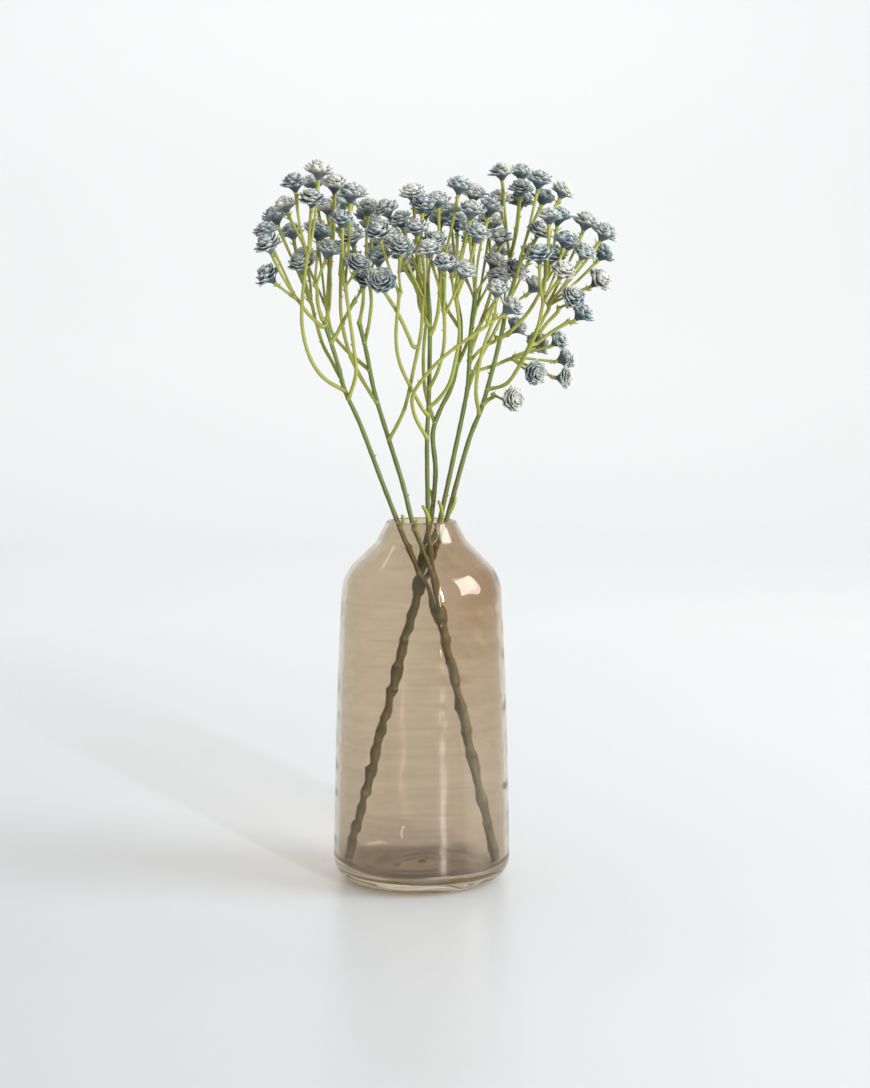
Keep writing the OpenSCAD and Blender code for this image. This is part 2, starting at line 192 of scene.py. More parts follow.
def domed(line, radii):
    """The same tube with both ends rounded off."""
    line, radii = list(line), list(radii)
    start = (line[0] - line[1]).normalized() * radii[0]
    end = (line[-1] - line[-2]).normalized() * radii[-1]
    foot = [line[0] + start * 0.55, line[0] + start * 0.35]
    tip = [line[-1] + end * 0.35, line[-1] + end * 0.55]
    radii = [radii[0] * 0.35, radii[0] * 0.8] + radii + [radii[-1] * 0.8, radii[-1] * 0.35]
    return foot + line + tip, radii


def tube(line, radii, sides, verts, faces):
    """Adds a closed round tube along a line of points."""
    first = len(verts)
    last = len(line) - 1
    turn = None
    for i, point in enumerate(line):
        along = (line[min(i + 1, last)] - line[max(i - 1, 0)]).normalized()
        turn = basis(along) if turn is None else turn.col[2].rotation_difference(along).to_matrix() @ turn
        for k in range(sides):
            angle = 2 * math.pi * k / sides
            verts.append(point + turn @ Vector((math.cos(angle), math.sin(angle), 0)) * radii[i])
    for i in range(last):
        for k in range(sides):
            a, b = first + i * sides + k, first + i * sides + (k + 1) % sides
            faces.append((a, b, b + sides, a + sides))
    faces.append(tuple(first + k for k in reversed(range(sides))))
    faces.append(tuple(first + last * sides + k for k in range(sides)))


def paint(piece, name, values):
    """Stores one colour per point, for the material to read."""
    layer = piece.data.color_attributes.new(name, "FLOAT_COLOR", "POINT")
    layer.data.foreach_set("color", [c for value in values for c in value])


# ---------------------------------------------------------------- materials
class Nodes:
    """A short way to write a node material."""

    def __init__(self, name):
        self.material = bpy.data.materials.new(name)
        self.material.use_nodes = True
        self.tree = self.material.node_tree
        self.shader = self.tree.nodes["Principled BSDF"]
        self.output = self.tree.nodes["Material Output"]

    def add(self, kind, **settings):
        node = self.tree.nodes.new(kind)
        for key, value in settings.items():
            if hasattr(node, key):
                setattr(node, key, value)
            else:
                node.inputs[key.replace("_", " ")].default_value = value
        return node

    def link(self, source, target):
        self.tree.links.new(source, target)

    def position(self, scale):
        """Object coordinates, stretched."""
        coordinates = self.add("ShaderNodeTexCoord")
        mapping = self.add("ShaderNodeMapping")
        mapping.inputs["Scale"].default_value = scale
        self.link(coordinates.outputs["Object"], mapping.inputs["Vector"])
        return mapping.outputs["Vector"]

    def noise(self, vector, scale, detail=3.0, roughness=0.5):
        node = self.add("ShaderNodeTexNoise", Scale=scale, Detail=detail, Roughness=roughness)
        self.link(vector, node.inputs["Vector"])
        return node.outputs["Fac"]

    def ramp(self, value, stops):
        node = self.add("ShaderNodeValToRGB")
        elements = node.color_ramp.elements
        while len(elements) < len(stops):
            elements.new(0.5)
        for element, (place, colour) in zip(elements, stops):
            element.position = place
            element.color = (*colour, 1)
        self.link(value, node.inputs["Fac"])
        return node.outputs["Color"]

    def mix(self, factor, a, b):
        node = self.add("ShaderNodeMix", data_type="RGBA")
        for socket, value in ((node.inputs[0], factor), (node.inputs[6], a), (node.inputs[7], b)):
            if isinstance(value, bpy.types.NodeSocket):
                self.link(value, socket)
            else:
                socket.default_value = value
        return node.outputs[2]

    def maths(self, operation, a, b=0.0):
        node = self.add("ShaderNodeMath", operation=operation)
        for socket, value in ((node.inputs[0], a), (node.inputs[1], b)):
            if isinstance(value, bpy.types.NodeSocket):
                self.link(value, socket)
            else:
                socket.default_value = value
        return node.outputs[0]

    def bump(self, height, distance, strength=1.0):
        node = self.add("ShaderNodeBump", Distance=distance, Strength=strength)
        self.link(height, node.inputs["Height"])
        self.link(node.outputs["Normal"], self.shader.inputs["Normal"])


def glass_material():
    """Smoke-brown glass: faint drawn streaks, painted shade at the upper right, and a deeper tint in the thick
    base.

    Shadow rays, and rays lost in the thick heel after five bounces, pass straight through a brown filter, made
    darker low down as painted shade in the heel and under the foot.
    """
    m = Nodes("smoke_glass")
    place = m.add("ShaderNodeSeparateXYZ")
    m.link(m.position((1, 1, 1)), place.inputs[0])
    x, z = place.outputs["X"], place.outputs["Z"]

    streaks = m.noise(m.position((18, 18, 420)), 1.0, 4.0, 0.6)
    tint = m.ramp(streaks, [(0.3, (0.715, 0.622, 0.502)), (0.7, (0.790, 0.700, 0.582))])
    # Painted shade: towards its upper right the glass is mixed to a deeper, darker brown.
    right = m.ramp(m.maths("ADD", m.maths("MULTIPLY", x, 9), 0.45), [(0.4, (0, 0, 0)), (0.9, (1, 1, 1))])
    upper = m.ramp(m.maths("MULTIPLY", z, 5), [(0.30, (0.15, 0.15, 0.15)), (0.75, (1, 1, 1))])
    painted_shade_share = m.maths("MULTIPLY", m.maths("MULTIPLY", right, upper), 0.95)
    tint = m.mix(painted_shade_share, tint, (0.60, 0.44, 0.28, 1))
    base = m.ramp(m.maths("MULTIPLY", z, 1 / (60 * MM)), [
        (0.08, (0.72, 0.70, 0.68)), (0.13, (0.94, 0.935, 0.93)), (0.25, (0.99, 0.99, 0.985)), (1.0, (1, 1, 1))])
    darker = m.add("ShaderNodeMix", data_type="RGBA", blend_type="MULTIPLY")
    darker.inputs[0].default_value = 1.0
    m.link(tint, darker.inputs[6])
    m.link(base, darker.inputs[7])
    m.link(darker.outputs[2], m.shader.inputs["Base Color"])
    m.shader.inputs["Roughness"].default_value = 0.004
    m.shader.inputs["IOR"].default_value = 1.5
    m.shader.inputs["Transmission Weight"].default_value = 1.0
    m.bump(m.noise(m.position((30, 30, 260)), 1.0, 2.0), 0.12 * MM, 0.06)

    clear = m.add("ShaderNodeBsdfTransparent")
    # Painted shade: the filter is darker low down, which darkens the heel as seen and deepens the shadow under
    # the foot.
    brown = m.ramp(m.maths("MULTIPLY", z, 1 / (30 * MM)), [
        (0.15, (0.46, 0.39, 0.29)), (0.4, (0.65, 0.59, 0.47))])
    m.link(brown, clear.inputs["Color"])
    path = m.add("ShaderNodeLightPath")
    lost = m.maths("GREATER_THAN", path.outputs["Ray Depth"], 4.5)
    blend = m.add("ShaderNodeMixShader")
    m.link(m.maths("MAXIMUM", path.outputs["Is Shadow Ray"], lost), blend.inputs[0])
    m.link(m.shader.outputs[0], blend.inputs[1])
    m.link(clear.outputs[0], blend.inputs[2])
    m.link(blend.outputs[0], m.output.inputs["Surface"])
    return m.material


def moulded_material(name, low, high, streak, roughness):
    """Moulded stem plastic: browner low down and lighter high up, with slow patches and long flow lines."""
    m = Nodes(name)
    split = m.add("ShaderNodeSeparateXYZ")
    m.link(m.position((1, 1, 1)), split.inputs[0])
    patches = m.noise(m.position((1, 1, 0.5)), 60, 4.0, 0.6)
    height = m.maths("MULTIPLY", m.maths("SUBTRACT", split.outputs["Z"], 0.15), 7)
    height = m.maths("ADD", height, m.maths("MULTIPLY", m.maths("SUBTRACT", patches, 0.5), 1.3))
    colour = m.ramp(height, [(0.05, low), (0.95, high)])
    flow = m.ramp(m.noise(m.position((1, 1, 0.12)), 900, 2.0), [(0.56, (0, 0, 0)), (0.70, (1, 1, 1))])
    colour = m.mix(m.maths("MULTIPLY", flow, 0.5), colour, (*streak, 1))
    m.link(colour, m.shader.inputs["Base Color"])
    m.shader.inputs["Roughness"].default_value = roughness
    m.shader.inputs["Specular IOR Level"].default_value = 0.4
    m.shader.inputs["Subsurface Weight"].default_value = 0.12
    m.shader.inputs["Subsurface Radius"].default_value = (0.6, 1.0, 0.3)
    m.shader.inputs["Subsurface Scale"].default_value = 1.5 * MM
    m.bump(m.noise(m.position((1, 1, 0.3)), 1400, 3.0), 0.1 * MM, 0.5)
    return m.material


def petal_material():
    """Soft foam petals: slate blue inside, pale along the tips and edges, some turned cream.

    The point colour "petal" holds nearness to the edge, share of cream and tone.
    """
    m = Nodes("floret_plastic")
    data = m.add("ShaderNodeVertexColor", layer_name="petal")
    parts = m.add("ShaderNodeSeparateColor")
    m.link(data.outputs["Color"], parts.inputs[0])
    grain = m.noise(m.position((1, 1, 1)), 900, 3.0, 0.65)
    depth = m.maths("ADD", parts.outputs["Red"], m.maths("MULTIPLY", m.maths("SUBTRACT", grain, 0.5), 0.5))
    depth = m.maths("ADD", depth, m.maths("MULTIPLY", m.maths("SUBTRACT", parts.outputs["Blue"], 0.4), 0.22))
    slate = m.ramp(depth, [
        (0.05, (0.026, 0.046, 0.056)), (0.42, (0.082, 0.130, 0.155)), (0.68, (0.165, 0.235, 0.265)),
        (0.84, (0.47, 0.52, 0.51)), (1.0, (0.72, 0.74, 0.70))])
    cream = m.ramp(depth, [(0.05, (0.16, 0.17, 0.15)), (0.45, (0.45, 0.43, 0.36)), (0.95, (0.80, 0.77, 0.68))])
    green = m.mix(m.maths("MULTIPLY", parts.outputs["Blue"], 0.35), slate, (0.16, 0.21, 0.17, 1))
    colour = m.mix(parts.outputs["Green"], green, cream)
    m.link(colour, m.shader.inputs["Base Color"])
    m.shader.inputs["Roughness"].default_value = 0.72
    m.shader.inputs["Specular IOR Level"].default_value = 0.25
    m.shader.inputs["Sheen Weight"].default_value = 0.25
    m.shader.inputs["Sheen Roughness"].default_value = 0.5
    m.shader.inputs["Subsurface Weight"].default_value = 0.15
    m.shader.inputs["Subsurface Radius"].default_value = (1.0, 0.9, 0.8)
    m.shader.inputs["Subsurface Scale"].default_value = 1.0 * MM
    m.bump(m.noise(m.position((1, 1, 1)), 2200, 4.0, 0.6), 0.12 * MM, 0.6)
    return m.material


def steel_material():
    """Drawn steel wire with fine length-wise lines and a few dull spots."""
    m = Nodes("steel_wire")
    lines = m.noise(m.position((1, 1, 0.02)), 3000, 2.0)
    colour = m.ramp(lines, [(0.35, (0.40, 0.39, 0.38)), (0.65, (0.62, 0.61, 0.60))])
    m.link(colour, m.shader.inputs["Base Color"])
    m.shader.inputs["Metallic"].default_value = 1.0
    m.shader.inputs["Roughness"].default_value = 0.35
    m.bump(lines, 0.05 * MM, 0.3)
    return m.material


GLASS = glass_material()
STEM = moulded_material("stem_plastic", (0.095, 0.086, 0.021), (0.150, 0.210, 0.038), (0.21, 0.15, 0.05), 0.45)
TWIG = moulded_material("twig_plastic", (0.235, 0.255, 0.045), (0.350, 0.365, 0.075), (0.34, 0.23, 0.06), 0.5)
PETAL = petal_material()
STEEL = steel_material()


def finish_piece(piece, body, slot, material, *nodes):
    """Gives a piece its material and its place in the frame."""
    piece.data.materials.clear()
    piece.data.materials.append(material)
    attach(piece, body)
    if nodes:
        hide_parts(*nodes)
    return piece


def repaint(node, material):
    """A CAD node whose shape is right keeps it and takes a better material."""
    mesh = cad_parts[node].data
    mesh.materials.clear()
    mesh.materials.append(material)


# ---------------------------------------------------------------- vase
VASE_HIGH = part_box("vase")[1]
BODY_R = VASE_HIGH.x
VASE_H = VASE_HIGH.z
BASE_T = 7 * MM
WALL = 2.4 * MM
NECK_WALL = 2.0 * MM
MOUTH_R = 17.7 * MM
# Depth of the rings and facets left by blowing, and the points round the glass
INNER_RIPPLE = 0.23 * MM
OUTER_RIPPLE = 0.05 * MM
FACET_DEPTH = 0.075 * MM
AROUND = 144


def rounded(corners):
    """An outline through corners [(r, z, rounding, steps)], each rounded by an arc."""
    line = []
    for i, (r, z, rounding, steps) in enumerate(corners):
        here = Vector((r, z))
        if rounding == 0:
            line.append(here)
            continue
        u = (Vector(corners[i - 1][:2]) - here).normalized()
        v = (Vector(corners[i + 1][:2]) - here).normalized()
        half = math.acos(max(-1, min(1, u.dot(v)))) / 2
        centre = here + (u + v).normalized() * rounding / math.sin(half)
        start = here + u * rounding / math.tan(half) - centre
        end = here + v * rounding / math.tan(half) - centre
        turn = math.pi - 2 * half
        for k in range(steps + 1):
            t = k / steps
            line.append(centre + (start * math.sin(turn * (1 - t)) + end * math.sin(turn * t)) / math.sin(turn))
    return line


def resampled(line, step):
    """The same outline with points no further apart than step."""
    out = [line[0]]
    for a, b in zip(line, line[1:]):
        count = max(1, math.ceil((b - a).length / step))
        out += [a.lerp(b, k / count) for k in range(1, count + 1)]
    return out


def ripple(z, angle, seed):
    """Uneven rings left by blowing and turning the glass, a fraction of a millimetre deep."""
    waves = 0.0
    for wavelength, size, drift in ((13.5, 0.55, 0.7), (21.0, 0.45, -1.3), (8.5, 0.10, 2.1)):
        phase = seed * 1.7 + drift * math.sin(angle + seed) + 0.35 * math.sin(2 * angle + drift * 3)
        waves += size * math.sin(2 * math.pi * z / (wavelength * MM) + phase)
    return waves


def facets(z, angle):
    """Shallow hand-turned unevenness around the body."""
    return (math.sin(16 * angle + 330 * z) * math.sin(angle * 3 + 170 * z)
            + 0.7 * math.sin(11 * angle - 200 * z + 1.3) + 0.4 * math.sin(29 * angle + 420 * z))


def make_vase():
    """The blown bottle: its outline turned about Z, outside and inside, with its unevenness."""
    waist = (BODY_R - 2 * MM, 96 * MM)
    shoulder = (BODY_R - 5.3 * MM, 200.8 * MM - BODY_R + 5.3 * MM)
    neck = (MOUTH_R + 5.5 * MM, 200.8 * MM - MOUTH_R - 5.5 * MM)
    lip = NECK_WALL * 0.42
    outline = rounded([
        (0, 0, 0, 0), (BODY_R + 0.1 * MM, 0, 12.2 * MM, 14), (*waist, 2.5, 4), (*shoulder, 24 * MM, 16),
        (*neck, 6 * MM, 8), (MOUTH_R, VASE_H, lip, 6), (MOUTH_R - NECK_WALL * 1.13, VASE_H, lip, 6),
        (neck[0] - NECK_WALL * 0.92, neck[1] - 1.4 * MM, 8 * MM, 8),
        (shoulder[0] - WALL * 0.95, shoulder[1] - 0.5 * MM, 21.6 * MM, 16),
        (waist[0] - WALL, waist[1], 2.5, 4),
        (BODY_R - WALL, BASE_T, 7 * MM, 12), (13 * MM, BASE_T - 0.4 * MM, 20 * MM, 4),
        (0, BASE_T + 2.2 * MM, 0, 0)])
    line = resampled(outline, 1.6 * MM)
    lip_at = max(range(len(line)), key=lambda i: line[i].y)
    verts, faces = [], []
    for i, point in enumerate(line[1:-1], 1):
        inner = i > lip_at
        above_base = min(1, max(0, (point.y - 16 * MM) / (14 * MM)))
        calm = above_base * min(1, max(0, (VASE_H - 3 * MM - point.y) / (9 * MM)))
        floor = inner and point.y < BASE_T + 4 * MM
        for k in range(AROUND):
            angle = 2 * math.pi * k / AROUND
            facing = abs(math.sin(angle))
            depth = INNER_RIPPLE if inner else OUTER_RIPPLE
            push = ripple(point.y, angle, 5 if inner else 1) * depth * calm * (0.4 + 0.6 * facing)
            if not inner:
                push += FACET_DEPTH * facets(point.y, angle) * calm * (0.3 + 0.7 * facing)
            swirl = 0.35 * MM * math.sin(3 * angle + point.x * 420) * point.x / BODY_R if floor else 0
            r = point.x + push
            verts.append((r * math.cos(angle), r * math.sin(angle), point.y + swirl))
    rows = len(line) - 2
    for i in range(rows - 1):
        for k in range(AROUND):
            a, b = i * AROUND + k, i * AROUND + (k + 1) % AROUND
            faces.append((a, b, b + AROUND, a + AROUND))
    verts += [(0, 0, line[0].y), (0, 0, line[-1].y)]
    foot, floor_middle = len(verts) - 2, len(verts) - 1
    for k in range(AROUND):
        following = (k + 1) % AROUND
        faces.append((foot, following, k))
        faces.append((floor_middle, (rows - 1) * AROUND + k, (rows - 1) * AROUND + following))
    vase = new_piece("blown_glass_vase", verts, faces)
    finish_piece(vase, "vase", "smoke_glass", GLASS, "vase")


# ---------------------------------------------------------------- stems and twigs
def spike(foot, direction, length, radius, verts, faces):
    """A small pointed scale or thorn nub, hooked a little upwards."""
    bend = Vector((0, 0, 0.25 * length))
    line = [foot, foot + direction * length * 0.5 + bend * 0.25, foot + direction * length + bend]
    tube(line, [radius, radius * 0.72, radius * 0.12], 6, verts, faces)


def thorns(line, radius, gap, rng, verts, faces):
    """Thorn nubs left along a stem, at uneven distances."""
    travelled, following = 0.0, rng.uniform(0.3, 1) * gap
    for a, b in zip(line, line[1:]):
        travelled += (b - a).length
        if travelled > following:
            following = travelled + rng.uniform(0.6, 1.5) * gap
            turn = basis(b - a)
            angle = rng.uniform(0, 2 * math.pi)
            out = turn @ Vector((math.cos(angle), math.sin(angle), rng.uniform(0.5, 0.9)))
            spike(a, out.normalized(), radius + rng.uniform(0.7, 1.5) * MM, 0.55 * MM, verts, faces)


def moulded_stem(line, start_r, end_r, swell, tip_r, rng, verts, faces):
    """One moulded stem: a thick foot, small uneven swellings and a knuckle at its tip."""
    line = smooth_line(line, 3)
    count = len(line) - 1
    phase, pitch = rng.uniform(0, ANY_TURN), rng.uniform(9, 13) * MM
    radii, travelled = [], 0.0
    for i, point in enumerate(line):
        t = i / count
        if i:
            travelled += (point - line[i - 1]).length
        r = start_r + (end_r - start_r) * t
        r *= 1 + 0.045 * math.sin(2 * math.pi * travelled / pitch + phase) + rng.uniform(-0.02, 0.02)
        radii.append(r + swell * math.exp(-travelled / (1.6 * MM)))
    length, travelled = travelled, 0.0
    for i, point in enumerate(line):
        if i:
            travelled += (point - line[i - 1]).length
        radii[i] += (tip_r - end_r) * math.exp(-(length - travelled) / (1.5 * MM))
    tube(*domed(line, radii), 10, verts, faces)


def make_main_stem(side, rng):
    """The hollow main stem with a swelling every centimetre or so, cut square at its foot."""
    points = solids_of(f"{side}_main_stem")[0]
    foot, top = ends_of(points)
    turn = basis(top - foot)
    foot = foot + turn @ Vector((0, 0, min((turn.inverted() @ (p - foot)).z for p in points)))
    length = max((turn.inverted() @ (p - foot)).z for p in points)
    outer = max((turn.inverted() @ (p - foot)).xy.length for p in points)
    bore = min((turn.inverted() @ (p - foot)).xy.length for p in points)
    rings, knot, at = [], rng.uniform(6, 12) * MM, 0.0
    while at < length:
        swelling = 0.55 * MM * math.exp(-((at - knot) / (1.5 * MM)) ** 2)
        r = outer * (0.97 + 0.02 * math.sin(at * 900)) + swelling * (at < length - 8 * MM)
        rings.append((at, r * (0.93 if at == 0 else 1)))
        at += 0.8 * MM
        if at > knot + 4 * MM:
            knot += rng.uniform(10, 16) * MM
    rings += [(length, outer * 0.95), (length, bore), (0, bore)]
    verts, faces, sides = [], [], 24
    for n, (z, r) in enumerate(rings):
        lean = rng.uniform(-0.06, 0.06) * MM if n < len(rings) - 3 else 0
        for k in range(sides):
            angle = 2 * math.pi * k / sides
            bulge = lean * math.cos(angle) + 0.05 * MM * math.sin(3 * angle + z * 300) * (r > bore)
            reach = r + bulge
            verts.append(foot + turn @ Vector((reach * math.cos(angle), reach * math.sin(angle), z)))
    for i in range(len(rings)):
        for k in range(sides):
            a, b = i * sides + k, i * sides + (k + 1) % sides
            c, d = (i + 1) % len(rings) * sides + (k + 1) % sides, (i + 1) % len(rings) * sides + k
            faces.append((a, b, c, d))
    piece = new_piece(f"{side}_knotted_stem", verts, faces)
    finish_piece(piece, f"{side}_spray", "stem_plastic", STEM, f"{side}_main_stem")


def nearest(point, lines):
    """The closest point of some centre lines."""
    best = None
    for line in lines:
        for a, b in zip(line, line[1:]):
            t = max(0, min(1, (point - a).dot(b - a) / max((b - a).length_squared, 1e-12)))
            near = a.lerp(b, t)
            if best is None or (near - point).length < (best - point).length:
                best = near
    return best


def make_branch(side, branch, rng):
    """A main branch with thorn nubs and a swollen tip where the last twigs leave."""
    verts, faces = [], []
    tips = []
    for line in lines_of(f"{side}_{branch}_branch", BRANCH_CORNERS):
        moulded_stem(line, 1.42 * MM, 1.12 * MM, 0, 1.5 * MM, rng, verts, faces)
        above = [point for point in line if point.z > VASE_H]
        thorns(above, 1.2 * MM, 26 * MM, rng, verts, faces)
        tips.append(line[-1])
    piece = new_piece(f"{side}_{branch}_moulded_branch", verts, faces)
    finish_piece(piece, f"{side}_spray", "stem_plastic", STEM, f"{side}_{branch}_branch")
    return tips


def make_twigs(side, branch, rng):
    """The curved twigs with a swollen foot, thorn nubs and pointed scales at their forks."""
    verts, faces = [], []
    tips = []
    lines = lines_of(f"{side}_{branch}_twigs", TWIG_CORNERS)
    branches = lines_of(f"{side}_{branch}_branch", BRANCH_CORNERS)
    for line in lines:
        foot = nearest(line[0], branches + [other for other in lines if other is not line])
        if (foot - line[0]).length > 7 * MM:
            foot = line[0] - (line[1] - line[0]).normalized() * 0.6 * MM
        start = [foot] + ([line[0]] if (foot - line[0]).length > 1.5 * MM else [])
        moulded_stem(start + line[1:], 1.02 * MM, 0.88 * MM, 0.45 * MM, 1.5 * MM, rng, verts, faces)
        thorns(line, 0.9 * MM, 20 * MM, rng, verts, faces)
        turn = basis(line[-1] - line[-2])
        begin = rng.uniform(0, ANY_TURN)
        for n in range(2):
            out = turn @ Vector((math.cos(begin + 2.6 * n), math.sin(begin + 2.6 * n), 0.9))
            spike(line[-1] - turn.col[2] * MM, out.normalized(), rng.uniform(2.6, 3.6) * MM, 0.6 * MM,
                  verts, faces)
        tips.append(line[-1])
    piece = new_piece(f"{side}_{branch}_moulded_twigs", verts, faces)
    finish_piece(piece, f"{side}_spray", "twig_plastic", TWIG, f"{side}_{branch}_twigs")
    return tips


def make_spurs(side, rng):
    """The cut side shoots by the mouth."""
    verts, faces = [], []
    for points in solids_of(f"{side}_spurs"):
        foot, tip = ends_of(points)
        bow = Vector((0.5, -0.4, 0)) * MM
        line = [foot, foot.lerp(tip, 0.3) + bow, foot.lerp(tip, 0.55) + bow, foot.lerp(tip, 0.78)]
        moulded_stem(line, 1.2 * MM, 0.85 * MM, 0.1 * MM, 0.75 * MM, rng, verts, faces)
    piece = new_piece(f"{side}_cut_spurs", verts, faces)
    finish_piece(piece, f"{side}_spray", "twig_plastic", TWIG, f"{side}_spurs")


def make_stalks(side, branch, tips, rng):
    """The thin stalks, drawn together at their fork, slightly bowed, widening under the calyx."""
    verts, faces = [], []
    for points in solids_of(f"{side}_{branch}_stalks"):
        start, tip = ends_of(points)
        fork = min(tips, key=lambda p: (p - start).length)
        if (fork - start).length < 4 * MM:
            start = fork.lerp(start, 0.5)
        bow = Vector((rng.uniform(-1, 1), rng.uniform(-1, 1), 0)) * (tip - start).length * 0.04
        line, radii = [], []
        for k in range(10):
            t = k / 9
            line.append(start.lerp(tip, t) + bow * math.sin(math.pi * t))
            radii.append((0.88 - 0.22 * math.sin(math.pi * min(1, t * 1.2)) ** 0.6 + 0.05 * t ** 5) * MM)
        tube(line, radii, 8, verts, faces)
        thorns(line[2:-2], 0.7 * MM, 24 * MM, rng, verts, faces)
    piece = new_piece(f"{side}_{branch}_bowed_stalks", verts, faces)
    finish_piece(piece, f"{side}_spray", "twig_plastic", TWIG, f"{side}_{branch}_stalks")


def make_calyxes(side, branch, rng):
    """A small fluted cup under each floret with two or three pointed scales below it."""
    verts, faces = [], []
    profile = ((-0.3, 0.76), (0.4, 0.84), (1.0, 0.90), (1.6, 1.0), (2.1, 1.1), (2.5, 1.1), (2.3, 0.9))
    sides = 14
    for points in solids_of(f"{side}_{branch}_calyxes"):
        foot, _, up = calyx_axis(points)
        turn = basis(up)
        first = len(verts)
        for z, r in profile:
            for k in range(sides):
                flute = 1 + (0.06 if k % 2 else -0.03) * min(1, max(0, z))
                angle = 2 * math.pi * k / sides
                point = Vector((r * flute * math.cos(angle), r * flute * math.sin(angle), z))
                verts.append(foot + turn @ point * MM)
        for i in range(len(profile) - 1):
            for k in range(sides):
                a, b = first + i * sides + k, first + i * sides + (k + 1) % sides
                faces.append((a, b, b + sides, a + sides))
        faces.append(tuple(first + k for k in reversed(range(sides))))
        faces.append(tuple(first + (len(profile) - 1) * sides + k for k in range(sides)))
        begin = rng.uniform(0, ANY_TURN)
        for n in range(rng.choice((1, 2, 2, 3))):
            angle = begin + n * 2.3
            out = turn @ Vector((math.cos(angle), math.sin(angle), 0.45))
            place = foot - up * rng.uniform(-0.3, 1.6) * MM
            spike(place, out.normalized(), rng.uniform(2.4, 3.6) * MM, 0.55 * MM, verts, faces)
    piece = new_piece(f"{side}_{branch}_scaled_calyxes", verts, faces)
    finish_piece(piece, f"{side}_spray", "twig_plastic", TWIG, f"{side}_{branch}_calyxes")


# ---------------------------------------------------------------- florets
# Whorls of a floret from the outside in, in millimetres: petals, foot radius, foot height, length, rise, width
WHORLS = ((9, 1.9, 2.6, 5.2, 7, 4.3), (9, 1.8, 3.5, 4.8, 16, 4.1), (8, 1.6, 4.4, 4.3, 26, 4.0),
          (8, 1.3, 5.2, 3.6, 37, 3.5), (7, 1.0, 5.9, 3.0, 49, 3.0), (6, 0.7, 6.5, 2.4, 62, 2.5),
          (4, 0.3, 6.9, 2.1, 76, 2.0))
# Half-width of a petal from its foot to its pointed tip
PETAL_SHAPE = (0.5, 0.9, 1.0, 0.76, 0.08)
CONE = ((0, 0.9), (0.6, 1.1), (1.5, 1.8), (2.4, 2.7), (3.0, 3.1), (4.0, 2.8), (5.8, 1.6), (7.4, 0.5))


def petal_points(length, width, rise, curl, cup):
    """Points of one cupped petal, its upper face and then its under face, with how near each is to the edge."""
    layers = []
    last = len(PETAL_SHAPE) - 1
    for thickness in (0.14, -0.14):
        rows = []
        for i, share in enumerate(PETAL_SHAPE):
            u = i / last
            half = width / 2 * share
            lean = rise + curl * u * u
            x, z = length * u * math.cos(lean), length * u * math.sin(lean)
            slim = thickness * (1 - 0.6 * u)
            rows.append([(x - slim * math.sin(lean) - 0.35 * cup * across ** 2 * math.sin(rise), across * half,
                          z + slim * math.cos(lean) + cup * across ** 2 * math.cos(rise),
                          max(u ** 2.2, 0.9 * abs(across) * u ** 0.5)) for across in (-1, 0, 1)])
        layers.append(rows)
    return layers


def add_petal(place, layers, cream, tone, verts, faces, colours):
    """Closes the upper and under faces of one petal into a thin solid."""
    first = len(verts)
    for rows in layers:
        for row in rows:
            for out, across, up, edge in row:
                verts.append(place @ Vector((out, across, up)))
                colours.append((edge, cream * (0.4 + 0.6 * edge), tone, 1))
    last = len(PETAL_SHAPE) - 1
    under = len(PETAL_SHAPE) * 3

    def at(layer, i, j):
        return first + layer * under + i * 3 + j

    for i in range(last):
        for j in range(2):
            faces.append((at(0, i, j), at(0, i + 1, j), at(0, i + 1, j + 1), at(0, i, j + 1)))
            faces.append((at(1, i, j + 1), at(1, i + 1, j + 1), at(1, i + 1, j), at(1, i, j)))
        faces.append((at(1, i, 0), at(1, i + 1, 0), at(0, i + 1, 0), at(0, i, 0)))
        faces.append((at(0, i, 2), at(0, i + 1, 2), at(1, i + 1, 2), at(1, i, 2)))
    for j in range(2):
        faces.append((at(0, 0, j), at(0, 0, j + 1), at(1, 0, j + 1), at(1, 0, j)))
        faces.append((at(1, last, j), at(1, last, j + 1), at(0, last, j + 1), at(0, last, j)))


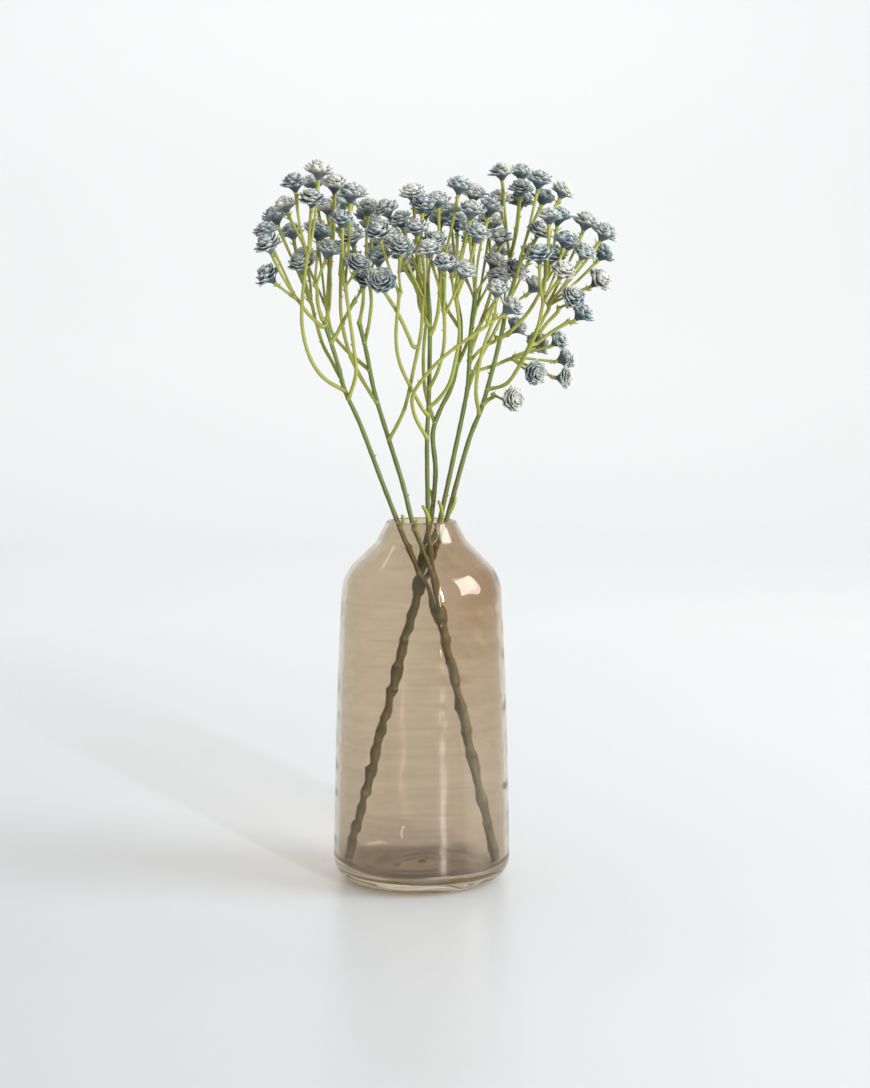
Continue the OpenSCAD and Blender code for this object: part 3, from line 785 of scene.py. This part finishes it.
def add_floret(foot, up, rng, verts, faces, colours):
    """Cupped whorls like a small rose on a dark cone, some paler on one side."""
    size = rng.uniform(1.02, 1.18) * MM
    turn = basis(up) @ Matrix.Rotation(rng.uniform(0, ANY_TURN), 3, "Z")
    place_of = Matrix.Translation(foot) @ turn.to_4x4() @ Matrix.Scale(size, 4)
    closed = rng.uniform(-4, 14)
    cream_side = rng.uniform(0, ANY_TURN)
    cream = rng.choice((0, 0, 0.1, 0.25, 0.4, 0.7, 1.0))
    tone = rng.uniform(0, 1)
    first, sides = len(verts), 14
    for z, r in CONE:
        for k in range(sides):
            angle = 2 * math.pi * k / sides
            verts.append(place_of @ Vector((r * math.cos(angle), r * math.sin(angle), z)))
            colours.append((0.12, cream * 0.1, tone, 1))
    for i in range(len(CONE) - 1):
        for k in range(sides):
            a, b = first + i * sides + k, first + i * sides + (k + 1) % sides
            faces.append((a, b, b + sides, a + sides))
    faces.append(tuple(first + k for k in reversed(range(sides))))
    faces.append(tuple(first + (len(CONE) - 1) * sides + k for k in range(sides)))
    for n, (petals, foot_r, foot_z, length, rise, width) in enumerate(WHORLS):
        offset = rng.uniform(0, ANY_TURN)
        for k in range(petals):
            angle = offset + 2 * math.pi * (k + rng.uniform(-0.12, 0.12)) / petals
            layers = petal_points(length * rng.uniform(0.80, 1.08), width * rng.uniform(0.9, 1.05),
                                  math.radians(rise + closed * (1 - n / 8) + rng.uniform(-5, 5)),
                                  rng.uniform(-0.05, 0.4), rng.uniform(0.35, 0.75))
            place = place_of @ Matrix.Rotation(angle, 4, "Z") @ Matrix.Translation((foot_r, 0, foot_z)) \
                @ Matrix.Rotation(rng.uniform(-0.16, 0.16), 4, "X")
            turned = 0.5 + 0.5 * math.cos(angle - cream_side)
            amount = min(1, max(0, cream * 1.5 * turned + rng.uniform(-0.12, 0.12)))
            add_petal(place, layers, amount, tone, verts, faces, colours)


def make_florets(side, branch, rng):
    """One layered flower head on each calyx."""
    verts, faces, colours = [], [], []
    for points in solids_of(f"{side}_{branch}_calyxes"):
        _, top, up = calyx_axis(points)
        add_floret(top - up * 0.8 * MM, up, rng, verts, faces, colours)
    piece = new_piece(f"{side}_{branch}_petalled_florets", verts, faces)
    paint(piece, "petal", colours)
    finish_piece(piece, f"{side}_spray", "floret_plastic", PETAL, f"{side}_{branch}_florets")


def make_spray(side, seed):
    """All pieces of one spray."""
    repaint(f"{side}_core_wire", STEEL)
    make_main_stem(side, random.Random(seed + 5))
    repaint(f"{side}_fork_collar", STEM)
    make_spurs(side, random.Random(seed))
    for n, branch in enumerate(BRANCHES):
        rng = random.Random(seed + n)
        tips = make_branch(side, branch, rng) + make_twigs(side, branch, rng)
        make_stalks(side, branch, tips, rng)
        make_calyxes(side, branch, rng)
        make_florets(side, branch, rng)


# ---------------------------------------------------------------- stage
def make_stage():
    """A pale floor that curves up into a backdrop, with painted shade: darker towards the front, lighter
    towards the back and up the backdrop, in soft uneven patches.
    """
    width, front, back, bend, top = 9.0, -9.0, 1.6, 1.2, 3.4
    under = -0.15 * MM
    profile = [(front, under), (0.0, under), (back, under)]
    for k in range(1, 17):
        angle = math.pi / 2 * k / 16
        profile.append((back + bend * math.sin(angle), bend * (1 - math.cos(angle))))
    profile.append((back + bend, top))
    verts = [(x, y, z) for y, z in profile for x in (-width, width)]
    faces = [(2 * i, 2 * i + 1, 2 * i + 3, 2 * i + 2) for i in range(len(profile) - 1)]
    floor = new_piece("floor", verts, faces)
    m = Nodes("floor")
    split = m.add("ShaderNodeSeparateXYZ")
    m.link(m.position((1, 1, 1)), split.inputs[0])
    # Painted shade and light: the colour darkens towards the front and lightens towards the back and up the
    # backdrop, with soft uneven patches.
    depth = m.maths("ADD", split.outputs["Y"], m.maths("MULTIPLY", split.outputs["Z"], 1.4))
    depth = m.maths("ADD", depth, m.maths("MULTIPLY", m.noise(m.position((1, 1, 1)), 2.5, 2.0), 0.15))
    depth = m.maths("MULTIPLY", m.maths("ADD", depth, 0.7), 0.25)
    m.link(m.ramp(depth, [(0.05, (0.51, 0.53, 0.545)), (0.20, (0.63, 0.645, 0.66)), (0.42, (0.84, 0.85, 0.85)),
                          (0.85, (0.93, 0.94, 0.935))]), m.shader.inputs["Base Color"])
    m.shader.inputs["Roughness"].default_value = 0.32
    m.shader.inputs["Specular IOR Level"].default_value = 0.35
    floor.data.materials.append(m.material)


def area_light(name, place, aim, size, power, colour, size_y=None):
    data = bpy.data.lights.new(name, "AREA")
    data.shape = "RECTANGLE"
    data.size = size
    data.size_y = size_y or size
    data.energy = power
    data.color = colour
    lamp = bpy.data.objects.new(name, data)
    lamp.location = place
    lamp.rotation_euler = (Vector(aim) - Vector(place)).to_track_quat("-Z", "Y").to_euler()
    bpy.context.scene.collection.objects.link(lamp)


def make_lights():
    """A soft window at the right, a narrow strip that lines the glass, and light on the backdrop."""
    world = bpy.data.worlds.new("studio")
    world.use_nodes = True
    world.node_tree.nodes["Background"].inputs["Color"].default_value = (0.96, 0.98, 1.0, 1)
    world.node_tree.nodes["Background"].inputs["Strength"].default_value = 0.63
    bpy.context.scene.world = world
    area_light("window", (1.5, -0.35, 0.88), (0, 0, 0.15), 1.0, 27.5, (1.0, 0.985, 0.955))
    area_light("strip", (0.62, -1.15, 0.45), (0, 0, 0.15), 0.045, 10.5, (1, 1, 1), 0.5)
    area_light("backdrop", (-0.2, 0.9, 2.6), (-0.2, 2.8, 1.2), 3.0, 19, (1.0, 1.0, 0.985), 1.2)


make_camera()
make_vase()
for spray_side, spray_seed in SEEDS.items():
    make_spray(spray_side, spray_seed)
make_stage()
make_lights()
